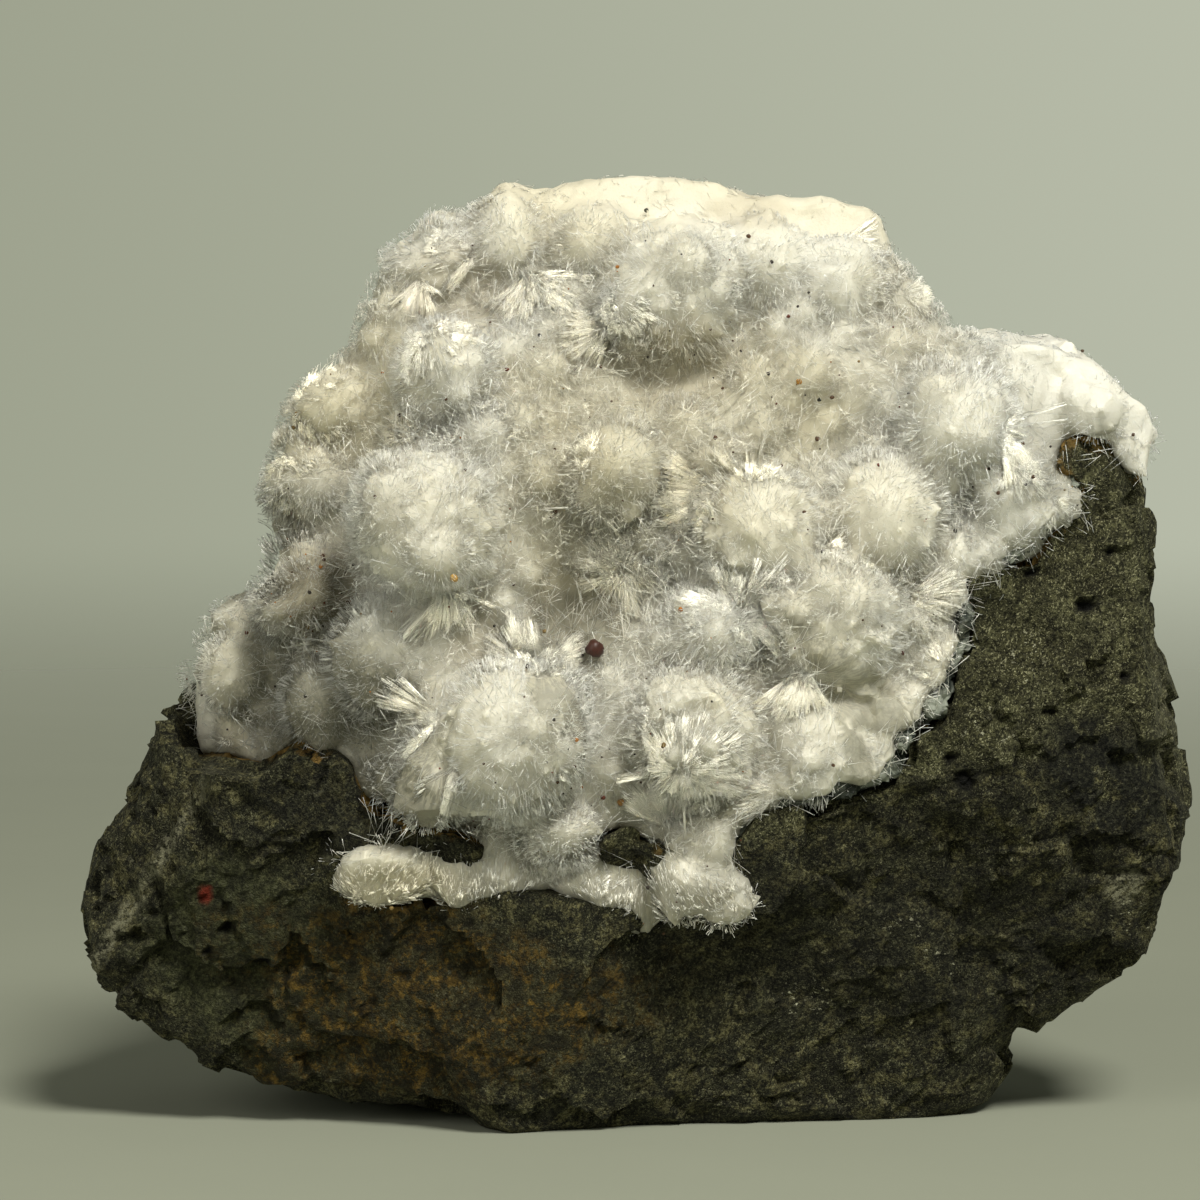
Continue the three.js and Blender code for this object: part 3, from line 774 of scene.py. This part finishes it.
def paint_rays(mesh, centres, cores, apexes):
    """The way out of its spray's middle at each point, and how strongly its fibres and the painted
    shade between them show.
    """
    points = points_of(mesh)
    gap = np.full(len(points), 4.0)
    ray, strength = points * 4, np.full(len(points), 0.25)
    for i, (centre, core) in enumerate(zip(centres, cores)):
        away = np.linalg.norm(points - centre, axis=1) - core
        closer = away < gap
        gap[closer] = away[closer]
        ray[closer] = unit(points[closer] - centre) * 4 * core + 9.1 * i
        strength[closer] = 0.45
    for i, (apex, (_, _, reach, _, _)) in enumerate(zip(apexes, FANS)):
        away = np.linalg.norm(points - apex, axis=1)
        inside = away < reach
        ray[inside] = unit(points[inside] - apex) * 15 + 5.3 * i
        strength[inside] = 1 - fade(away[inside] / reach, 0.6, 1) * 0.6
    strength *= 1 - 0.6 * compact(points)
    upright = skirted(points) > 0.3
    ray[upright] = points[upright] * (5, 5, 1.2)
    strength[upright] = 1
    paint(mesh, "ray", ray, "FLOAT_VECTOR", "vector")
    paint(mesh, "rays", strength)


def ball_centres():
    """The puffballs' middles and radii."""
    centres = []
    for x, z, _, behind in PUFFBALLS:
        depth, _ = face_at(x, z)
        centres.append((x, depth + behind, z))
    return np.array(centres), np.array([radius for _, _, radius, _ in PUFFBALLS])


def skirted(points):
    """1 on the low tongue and the strip right of it, where fibres stand up, and 0 elsewhere."""
    tongue = near(points, -15.6, 19.6, 10.5, 3.2, 0.1)
    return np.maximum(tongue, near(points, 1, 18.8, 10.5, 3, 0.1))


def small_sprays(mesh):
    """Lesser sprays spread over the show face, more where no puffball stands."""
    centres, radii = ball_centres()

    def weight(points, normals):
        clear = fade(domes(points, centres, CORE_SHARE * radii), 0, 1.2)
        grown = fade(-normals[:, 1], 0, 0.4) * (1 - 0.9 * compact(points))
        return (0.15 + clear) * grown * (1 - shown(points, HOLLOWS)) * (1 - skirted(points))

    place, normal = surface_samples(mesh, 6 * SMALL_SPRAYS, weight)
    kept = []
    for candidate in range(len(place)):
        apart = [np.linalg.norm(place[candidate] - place[other]) for other in kept]
        if min(apart, default=math.inf) > SPRAY_SPACING:
            kept.append(candidate)
    kept = kept[:SMALL_SPRAYS]
    radius = random.uniform(*SMALL_SPRAY_RADIUS, len(kept))
    return place[kept] - normal[kept] * (0.45 * radius)[:, None], radius


def turn_of(offset):
    """The angle from straight down, up the right side first."""
    return (np.arctan2(offset[:, 1], offset[:, 0]) + math.pi / 2) % (2 * math.pi)


def past_outline(points):
    """Each point's angle round the middle, how far out it is, how far out the outline is there,
    and 1 along the outline and 0 below its ends."""
    away = points[:, (0, 2)] - MIDDLE
    line = np.array(OUTLINE) - MIDDLE
    turn, line_turn = turn_of(away), turn_of(line)
    first, last = line_turn[0], line_turn[-1]
    wanted = np.interp(turn, line_turn, np.hypot(*line.T))
    inside = fade(turn, first - 0.1, first + 0.05) * (1 - fade(turn, last - 0.05, last + 0.1))
    return turn, np.hypot(*away.T), wanted, inside


def fitted_outline(points):
    """Moves the rim in or out to the outline, and less farther in."""
    turn, radius, wanted, inside = past_outline(points)
    slots = 110  # steps round the rim, each with its own reach
    slot = np.minimum((turn / (2 * math.pi) * slots).astype(int), slots - 1)
    reached = np.zeros(slots)
    np.maximum.at(reached, slot, radius)
    middles = (np.arange(slots) + 0.5) * 2 * math.pi / slots
    reached = np.interp(turn, middles, reached, period=2 * math.pi)
    change = np.clip(wanted / reached - 1, -0.12, 0.09) * inside
    change *= fade(radius / reached, 0.72, 0.96)
    points[:, (0, 2)] += change[:, None] * (points[:, (0, 2)] - MIDDLE)
    return points


def swell(mesh, centres, cores):
    """Raises the show face over the sprays' cores."""
    for _ in range(2):
        points, normals = points_of(mesh), normals_of(mesh)
        rise = np.clip(-domes(points, centres, cores), 0, 1.2) * fade(-normals[:, 1], 0.05, 0.6)
        set_points(mesh, points + normals * rise[:, None])


def crust_relief(points, skirt, stone_tree):
    """How far the surface moves out: its grain and ragged edge, and more over the contact, over
    hidden quartz and on the low tongue."""
    broken = (0.3 + 0.5 * fade(points[:, 1], -12, 0)) * compact(points)
    fine = 0.16 * rough_noise(points, 1.5, 3, 51) + broken * rough_noise(points, 2.8, 4, 52)
    fine += 0.5 * skirt * rough_noise(points * (1, 1, 0.5), 1, 3, 54)
    clear = heights(stone_tree, points)
    over_contact = 0.35 * (1 - fade(clear, 0.2, 0.9))
    ragged = 0.4 * rough_noise(points, 1.8, 3, 53) * (1 - fade(clear, 0.8, 2.2))
    ragged *= fade(50 - points[:, 2], 0, 3)
    lined = 1 - fade(heights(packed_tree("quartz_lining"), points), 0.3, 1.8)
    over_quartz = 0.9 * lined * (1 - shown(points, QUARTZ_SHOWS))
    return fine - 0.1 + over_contact + ragged + over_quartz + 1.4 * skirt


def shape_tongue(points, skirt):
    """Brings the low tongue forward and gives it its height at each place."""
    points[:, 1] -= 0.9 * skirt
    for x, z, half_width, share in TONGUE_STRETCHES:
        part = near(points, x, z, half_width, 3.2, 0) * fade(-points[:, 1], 10, 12)
        points[:, 2] += share * part * (points[:, 2] - z)
    points[:, 2] += patched(points, TONGUE_LIFTS, 0)
    points[:, 1] += 2.4 * near(points, -17, 24.6, 5.4, 1.7, 0)  # the dark gap above it


def make_crust(stone_tree):
    crust = remeshed("okenite_crust", CRUST_VOXEL, "okenite_mass")
    mesh = crust.data
    relaxed(mesh, 30)
    ball_places, ball_radii = ball_centres()
    spray_places, spray_radii = small_sprays(mesh)
    apexes, ways = fan_apexes(tree_of(mesh))
    reaches = np.array([reach for _, _, reach, _, _ in FANS])
    places = np.concatenate([ball_places, spray_places])
    cores = np.concatenate([CORE_SHARE * ball_radii, SPRAY_CORE_SHARE * spray_radii])
    mounds = apexes - 0.1 * reaches[:, None] * ways
    swell(mesh, np.concatenate([places, mounds]), np.concatenate([cores, FAN_CORE_SHARE * reaches]))
    paint_rays(mesh, places, cores, apexes)
    points, normals = points_of(mesh), normals_of(mesh)
    skirt = skirted(points)
    points += normals * crust_relief(points, skirt, stone_tree)[:, None]
    shape_tongue(points, skirt)
    set_points(mesh, fitted_outline(points))
    relaxed(mesh, 2)
    return crust, places, np.concatenate([ball_radii, spray_radii])


def thinness(points, clear):
    """1 close to the stone, where it shows through between the needles, and 0 away from it."""
    return 1 - fade(clear + 0.8 * rough_noise(points, 2, 3, 71), 0, 1.3)


def directions(way, aim, spread, lowest, highest, count):
    """Ways out of a face: round it by aim and spread, and up from it between two sines."""
    right = way.cross(Vector((0, 0, 1))).normalized()
    right = right if right.x > 0 else -right
    up = right.cross(way)
    up = up if up.z > 0 else -up
    turn = np.radians(aim + spread * random.uniform(-1, 1, count))
    rise = random.uniform(lowest, highest, count)
    flat = np.sqrt(1 - rise**2)
    return (
        (flat * np.cos(turn))[:, None] * np.array(right)
        + (flat * np.sin(turn))[:, None] * np.array(up)
        + rise[:, None] * np.array(way)
    )


def ball_needles(centres, radii):
    """Needles out of each spray's middle: only their ends stand out of the milky core."""
    roots, tips = [], []
    for i, (centre, radius) in enumerate(zip(centres, radii)):
        _, way = face_at(centre[0], centre[2])
        density = BALL_DENSITY * random.uniform(0.5, 1.2)
        count = int(density * 2 * math.pi * radius**2 * (1 - BALL_LOWEST))
        out = directions(way, 0, 180, BALL_LOWEST, 1, count)
        facing = fade(out @ np.array(way), 0.4, 0.85)
        out = out[random.random(count) > 0.55 * facing]  # the core shows through its middle
        count = len(out)
        uneven = 0.07 * smooth_noise(out + 7.1 * i, 0.5, 62)
        uneven += 0.04 * smooth_noise(out + 3.3 * i, 0.16, 63)
        reach = radius * (0.98 + uneven - 0.2 * random.random(count) ** 2)
        short = 1 - 0.13 * compact(centre + out * radius)
        tufts = 0.09 * noise_ways(out + 2.3 * i, 0.17, 66)
        end = unit(out + tufts + random.normal(0, 0.03, (count, 3)))
        tips.append(centre + end * (reach * short)[:, None])
        roots.append(centre + out * (radius * random.uniform(0.6, 0.76, count))[:, None])
    return np.concatenate(roots), np.concatenate(tips)


def laid_on(tree, points, lifts):
    """The points moved to their heights above a surface."""
    result = np.empty_like(points)
    for i, (point, lift) in enumerate(zip(points, lifts)):
        found, normal, _, _ = tree.find_nearest(point)
        result[i] = found + normal * float(lift)
    return result


def fan_needles(tree):
    """Needles along the face, out of each broken spray's middle."""
    roots, tips = [], []
    for i, (apex, way, (_, _, reach, aim, spread)) in enumerate(zip(*fan_apexes(tree), FANS)):
        count = int(FAN_DENSITY * reach**2 * math.radians(spread))
        out = directions(Vector(way), aim, spread, 0, 0.03, count)
        uneven = 0.35 * smooth_noise(out + 5.3 * i, 0.5, 64)
        uneven += 0.12 * smooth_noise(out + 1.3 * i, 0.12, 65)
        far = reach * (0.9 + uneven) * (0.2 + 0.8 * random.random(count) ** 0.7)
        tips.append(apex + out * far[:, None])
        roots.append(apex + out * (far * random.uniform(0, 0.55, count))[:, None])
    roots, tips = np.concatenate(roots), np.concatenate(tips)
    lifts = 0.1 + 0.7 * random.random(len(tips)) ** 2
    return laid_on(tree, roots, np.full(len(roots), -0.05)), laid_on(tree, tips, lifts)


def matted_needles(mesh, count):
    """Loose needles across each other on the show face, most between the puffballs."""
    ball_places, ball_radii = ball_centres()

    def weight(points, normals):
        hollow = 0.3 + near(points, -8, 56, 10, 7) + near(points, 0, 47, 7, 12)
        hollow += near(points, 2, 37, 6, 6)
        hollow += 1.6 * fade(domes(points, ball_places, CORE_SHARE * ball_radii), -0.2, 0.6)
        return hollow * fade(-normals[:, 1], -0.2, 0.4) * (1 - 0.9 * compact(points))

    place, normal = surface_samples(mesh, count, weight)
    out = unit(0.45 * normal + random.normal(0, 0.6, (count, 3)))
    out = unit(out + np.maximum(0.12 - dot(out, normal), 0)[:, None] * normal)
    length = 1.2 + 3.6 * random.random(count) ** 1.6
    return place - 0.2 * normal, place + out * length[:, None]


def felted_needles(mesh, count):
    """Short fibres that lie side by side along the broken edges."""

    def weight(points, normals):
        return (0.03 + compact(points) + 9 * skirted(points)) * fade(9 - points[:, 1], 0, 8)

    place, normal = surface_samples(mesh, count, weight)
    skirt = skirted(place)[:, None]
    sweep = noise_ways(place, 6, 80) + skirt * (0, -0.3, 1.6)
    out = unit(sweep + random.normal(0, 0.22, (count, 3)))
    out -= dot(out, normal)[:, None] * normal
    out = unit(out) + (0.03 + 0.2 * random.random((count, 1)) ** 2 + 0.25 * skirt) * normal
    length = 0.4 + 0.9 * random.random(count) + 0.5 * skirt[:, 0]
    return place, place + unit(out) * length[:, None]


def lip_needles(mesh, stone_tree, count):
    """Needles along the contact, which lean out over the stone."""

    def weight(points, normals):
        return (1 - fade(heights(stone_tree, points), 0.4, 1.8)) * fade(-normals[:, 1], -0.5, 0.2)

    place, normal = surface_samples(mesh, count, weight)
    out = np.empty_like(place)
    for i, point in enumerate(place):
        found, _, _, _ = stone_tree.find_nearest(point)
        out[i] = found - Vector(point)
    forward = (0, -0.35, 0)
    out = 0.45 * unit(out) + 0.75 * normal + forward + random.normal(0, 0.35, (count, 3))
    length = 0.3 + 0.7 * random.random(count) ** 2
    return place - 0.1 * normal, place + unit(out) * length[:, None]


def spikes(name, roots, tips, radii, tints, material):
    """Closed needles, each thin at its root with a blunt three-sided tip, as one mesh."""
    count = len(roots)
    axis = unit(tips - roots)
    side = unit(np.cross(axis, random.normal(size=(count, 3))))
    other = np.cross(axis, side)
    corners = [
        tips + (side * math.cos(turn) + other * math.sin(turn)) * radii[:, None]
        for turn in (0, 2 * math.pi / 3, 4 * math.pi / 3)
    ]
    points = np.stack([*corners, roots], axis=1).reshape(-1, 3)
    pattern = np.array([[0, 1, 2], [1, 0, 3], [2, 1, 3], [0, 2, 3]])
    faces = (4 * np.arange(count)[:, None, None] + pattern).reshape(-1, 3)
    joined(name, points, faces, np.repeat(tints, 4, axis=0), material)


def trimmed(kind, roots, tips, crust_tree):
    """Drops the needles inside the mass, too far out or past the outline, and starts a puffball's
    just under the surface."""
    low, high = np.array(cad_box) / MM
    clear = heights(crust_tree, tips)
    keep = (clear > 0.06) & (clear < 2.2 - 1.85 * compact(tips) - 0.3 * (kind == "mat"))
    keep &= np.all((tips > low - OVERHANG) & (tips < high + OVERHANG), axis=1)
    _, radius, wanted, inside = past_outline(tips)
    keep &= (radius < wanted + 0.4 + 0.6 * fade(-tips[:, 0], 24, 28)) | (inside < 0.5)
    keep &= (tips[:, 0] < 40.5) | (tips[:, 2] > 53)  # none in the air right of the right lobe
    on_skirt = np.maximum(skirted(tips), skirted(roots)) >= 0.05
    keep &= (clear < 0.55) | (kind == "felt") | ~on_skirt
    roots, tips, clear = roots[keep], tips[keep], clear[keep]
    if kind == "ball":
        hidden = 1 - (2 * clear + 0.5) / np.linalg.norm(tips - roots, axis=1)
        roots = roots + np.clip(hidden, 0, 1)[:, None] * (tips - roots)
    return roots, tips


def thinned(roots, tips, stone_tree):
    """Drops the needles that end in the stone and many that end close to it."""
    clear = heights(stone_tree, tips)
    keep = (clear > 0.05) & (fade(clear, 0.2, 1.6) > 0.8 * random.random(len(clear)) - 0.1)
    return roots[keep], tips[keep], clear[keep]


def needle_tints(roots, thin):
    """Each needle's colour, paler than the mass at its root."""
    tints = np.clip(tint(roots, thin) * random.uniform(0.93, 1.06, (len(roots), 1)), 0, 0.96)
    return tints + NEEDLE_PALENESS * (NEEDLE_WHITE - tints)


def grain_shape():
    """A small ball: its points and triangles."""
    ball = bpy.data.meshes.new("grain")
    shape = bmesh.new()
    bmesh.ops.create_icosphere(shape, subdivisions=2, radius=1)
    bmesh.ops.triangulate(shape, faces=shape.faces)
    shape.to_mesh(ball)
    shape.free()
    return points_of(ball) * MM, np.array([polygon.vertices[:] for polygon in ball.polygons])


def make_specks(crust, crust_tree):
    """Grains of iron oxide and clay caught in the needles, and one dark red bead in the hollow."""

    def weight(points, normals):
        many = 0.5 + 6 * near(points, -26, 43, 4, 4) + 3 * near(points, -2, 30, 6, 4)
        many += near(points, 8, 60, 16, 8)
        return many * fade(-normals[:, 1], 0, 0.4) * (1 - 0.8 * compact(points))

    place, normal = surface_samples(crust.data, SPECKS, weight)
    size = 0.07 + 0.13 * random.random(SPECKS) ** 3
    centre = place + normal * random.uniform(0.2, 0.8, SPECKS)[:, None]
    colour = np.array(SPECK_BROWNS)[random.choice(len(SPECK_BROWNS), SPECKS, p=SPECK_SHARES)]
    for x, z, radius, shade in BEADS:
        in_front = Vector((x, -60, z))
        found, way, _, _ = crust_tree.ray_cast(in_front, Vector((0, 1, 0)))
        centre = np.vstack([centre, found + (0.4 + 0.8 * radius) * way])
        size, colour = np.append(size, radius), np.vstack([colour, shade])
    corners, triangles = grain_shape()
    lumpy = [
        middle + corners * (radius * (1 + 0.3 * smooth_noise(corners + 5.1 * i, 0.7, 91)))[:, None]
        for i, (middle, radius) in enumerate(zip(centre, size))
    ]
    faces = (len(corners) * np.arange(len(size))[:, None, None] + triangles).reshape(-1, 3)
    tints = np.repeat(colour, len(corners), axis=0)
    joined("specks", np.concatenate(lumpy), faces, tints, speck_material())


def make_needles(crust, crust_tree, stone_tree, centres, radii):
    material = needle_material()
    sets = {
        "ball": ball_needles(centres, radii),
        "fan": fan_needles(crust_tree),
        "mat": matted_needles(crust.data, MAT_NEEDLES),
        "felt": felted_needles(crust.data, FELT_NEEDLES),
        "lip": lip_needles(crust.data, stone_tree, LIP_NEEDLES),
    }
    for kind, (roots, tips) in sets.items():
        roots, tips = trimmed(kind, roots, tips, crust_tree)
        roots, tips, clear = thinned(roots, tips, stone_tree)
        tints = needle_tints(roots, thinness(tips, clear))
        size = NEEDLE_RADIUS * random.uniform(0.6, 1.25, len(roots))
        parts = math.ceil(len(roots) / NEEDLES_A_PIECE)
        for part in range(parts):
            own = slice(part, None, parts)
            name = f"needles_{kind}_{part + 1}"
            spikes(name, roots[own], tips[own], size[own], tints[own], material)


# ---- Studio ----
def make_floor():
    """Plain paper that fades out a little way from the specimen."""
    turns = [2 * math.pi * k / FLOOR_SIDES for k in range(FLOOR_SIDES)]
    rim = [(FLOOR_RADIUS * math.cos(turn), FLOOR_RADIUS * math.sin(turn), 0) for turn in turns]
    faces = [(0, 1 + k, 1 + (k + 1) % FLOOR_SIDES) for k in range(FLOOR_SIDES)]
    mesh = bpy.data.meshes.new("floor")
    mesh.from_pydata([(0, 0, 0), *rim], [], faces)
    n = Material("studio_paper")
    paper = n.mix(n.noise(30, 2), (0.3, 0.315, 0.25), (0.32, 0.335, 0.265))
    n.set(n.shader, Base_Color=paper, Roughness=0.9, Specular_IOR_Level=0.1)
    away = n.add("ShaderNodeVectorMath", Vector=n.place())
    away.operation = "LENGTH"
    clear = n.add("ShaderNodeBsdfTransparent")
    faded = n.between(away.outputs["Value"], 0.12, 0.7)
    both = n.fill(n.add("ShaderNodeMixShader"), faded, n.shader.outputs[0], clear.outputs[0])
    n.put(n.tree.nodes["Material Output"].inputs["Surface"], both)
    mesh.materials.append(n.material)
    placed("floor", mesh)


def make_world():
    """A pale band round the horizon, which is the backdrop, and dimmer above and below."""
    world = bpy.data.worlds.new("studio")
    world.use_nodes = True
    n = Nodes(world.node_tree)
    way = n.add("ShaderNodeTexCoord").outputs["Generated"]
    parts = n.add("ShaderNodeSeparateXYZ", Vector=way).outputs
    rightward = n.between(parts["X"], -0.14, 0.14)
    backdrop = n.mix(rightward, (0.335, 0.355, 0.265), (0.48, 0.505, 0.4))
    upward = n.between(n.math("ABSOLUTE", parts["Z"]), 0.16, 0.4)
    colour = n.mix(upward, backdrop, (0.1, 0.105, 0.088))
    n.put(n.tree.nodes["Background"].inputs["Color"], colour)
    world.cycles.sampling_method = "NONE"  # so soft a light needs no sampling of its own
    bpy.context.scene.world = world


def point_at(holder, place, target):
    """Puts a lamp or a camera at its place, turned to its target."""
    holder.location = place
    holder.rotation_euler = (target - place).to_track_quat("-Z", "Y").to_euler()


def make_lamps():
    for name, place, size, power, colour in LAMPS:
        light = bpy.data.lights.new(name, "AREA")
        light.shape = "DISK"
        light.size = size
        light.energy = power
        light.color = colour
        holder = placed(name, light)
        point_at(holder, Vector(place), Vector(LAMP_TARGET))
        holder.visible_camera = False
    light_paths = bpy.context.scene.cycles
    light_paths.diffuse_bounces, light_paths.glossy_bounces = 2, 1


def make_camera():
    target = Vector(CAMERA_TARGET) * MM
    elevation = math.radians(CAMERA_ELEVATION)
    camera = bpy.data.cameras.new("camera")
    camera.lens = camera.sensor_width * CAMERA_DISTANCE / PICTURE_WIDTH
    back = Vector((0, -math.cos(elevation), math.sin(elevation)))
    holder = placed("camera", camera)
    point_at(holder, target + back * CAMERA_DISTANCE, target)
    bpy.context.scene.camera = holder
    bpy.context.scene.view_settings.view_transform = "Standard"


make_camera()
make_floor()
make_world()
make_lamps()
stone = make_stone()
make_quartz()
stone_tree = tree_of(stone.data)
crust, centres, radii = make_crust(stone_tree)
finish_piece(crust, crust_material(), "okenite", "okenite_crust")
crust_tree = tree_of(crust.data)
crust_points = points_of(crust.data)
thin = thinness(crust_points, heights(stone_tree, crust_points))
# painted shade: the mass is tinted darker than its needles, for the shade between them
paint_tint(crust.data, tint(crust_points, thin) * MASS_DEPTHS)
make_needles(crust, crust_tree, stone_tree, centres, radii)
make_specks(crust, crust_tree)
